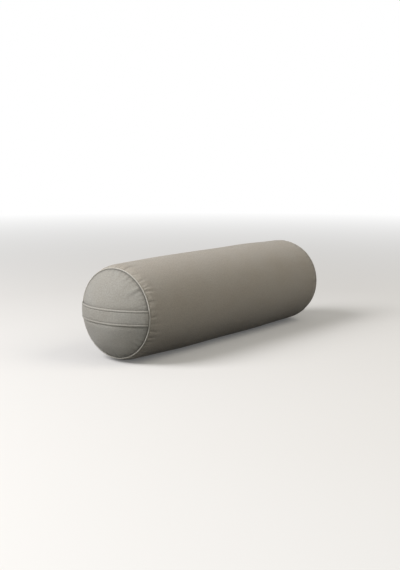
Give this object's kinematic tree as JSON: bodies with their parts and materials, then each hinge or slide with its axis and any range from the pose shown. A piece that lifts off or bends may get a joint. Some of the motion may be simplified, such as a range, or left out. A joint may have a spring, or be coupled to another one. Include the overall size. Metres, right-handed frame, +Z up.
{
  "type": "round yoga bolster",
  "caption": "Firm round bolster on its side: a grey canvas tube with domed, piped ends, a flat carrying strap across each end and a lengthwise zip along the back.",
  "frame": {"origin": "on the floor under the bolster's middle, at the bottom centre of its box", "axes": "+X along the bolster towards its right end, +Y towards the back with the zip, +Z up"},
  "size_m": [0.794, 0.23, 0.227],
  "materials": {
    "body_canvas": "plain-woven cotton canvas",
    "end_canvas": "plain-woven cotton canvas",
    "piping_canvas": "bias-cut cotton canvas",
    "strap_canvas": "folded and topstitched cotton canvas",
    "cotton_cord": "twisted cotton cord",
    "zip_tape": "woven polyester tape",
    "zip_coil": "nylon coil",
    "zip_metal": "satin nickel plate",
    "calico": "unbleached calico",
    "batting": "loose cotton batting",
    "foam": "open-cell foam"
  },
  "bodies": {
    "root": {"body_panel": "body_canvas", "left_end_panel": "end_canvas", "left_piping_cover": "piping_canvas", "left_piping_cord": "cotton_cord", "right_end_panel": "end_canvas", "right_piping_cover": "piping_canvas", "right_piping_cord": "cotton_cord", "zip_tape_upper": "zip_tape", "zip_tape_lower": "zip_tape", "zip_coil_upper": "zip_coil", "zip_coil_lower": "zip_coil", "zip_top_stop_upper": "zip_metal", "zip_top_stop_lower": "zip_metal", "zip_bottom_stop": "zip_metal", "liner_sleeve": "calico", "liner_left_end": "calico", "liner_right_end": "calico", "batting_wrap": "batting", "foam_core": "foam", "left_end_pad": "batting", "right_end_pad": "batting"},
    "zip_slider": {"zip_slider": "zip_metal"},
    "zip_pull": {"zip_pull": "zip_metal"},
    "left_handle": {"left_handle": "strap_canvas"},
    "right_handle": {"right_handle": "strap_canvas"}
  },
  "joints": [
    {"name": "zip_slide", "type": "slide", "parent": "root", "child": "zip_slider", "axis": [1, 0, 0], "range_m": [0, 0.4634]},
    {"name": "zip_pull_swing", "type": "hinge", "parent": "zip_slider", "child": "zip_pull", "pos_m": [-0.2317, 0.11032, 0.15062], "axis": [0, -0.3303, 0.9439], "range_deg": [0, 180]},
    {"name": "left_handle_lift", "type": "slide", "parent": "root", "child": "left_handle", "axis": [-1, 0, 0], "range_m": [0, 0.02], "stiffness_N_per_m": 200},
    {"name": "right_handle_lift", "type": "slide", "parent": "root", "child": "right_handle", "axis": [1, 0, 0], "range_m": [0, 0.02], "stiffness_N_per_m": 200}
  ]
}
